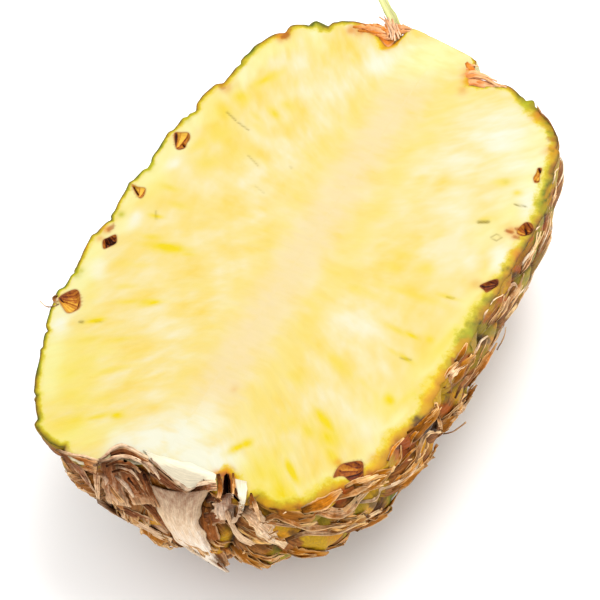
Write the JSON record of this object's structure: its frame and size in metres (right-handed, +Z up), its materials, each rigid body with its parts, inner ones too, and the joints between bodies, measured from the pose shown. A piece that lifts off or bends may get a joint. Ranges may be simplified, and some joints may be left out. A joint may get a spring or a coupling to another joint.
{
  "type": "half pineapple",
  "caption": "Half of a fresh pineapple, cut lengthwise and lying on its rind, with the juicy flesh and pale core facing up.",
  "frame": {"origin": "on the surface it lies on, under the middle of the bounding box", "axes": "+Z up, square to the level cut face; +Y along the fruit's long axis from the stem end to the crown end; +X to the fruit's right side"},
  "size_m": [0.1311, 0.199, 0.068],
  "materials": {
    "rind": "matte",
    "flesh": "satin",
    "dry_leaf": "matte"
  },
  "bodies": {
    "root": {"half_pineapple": "rind"}
  },
  "joints": []
}
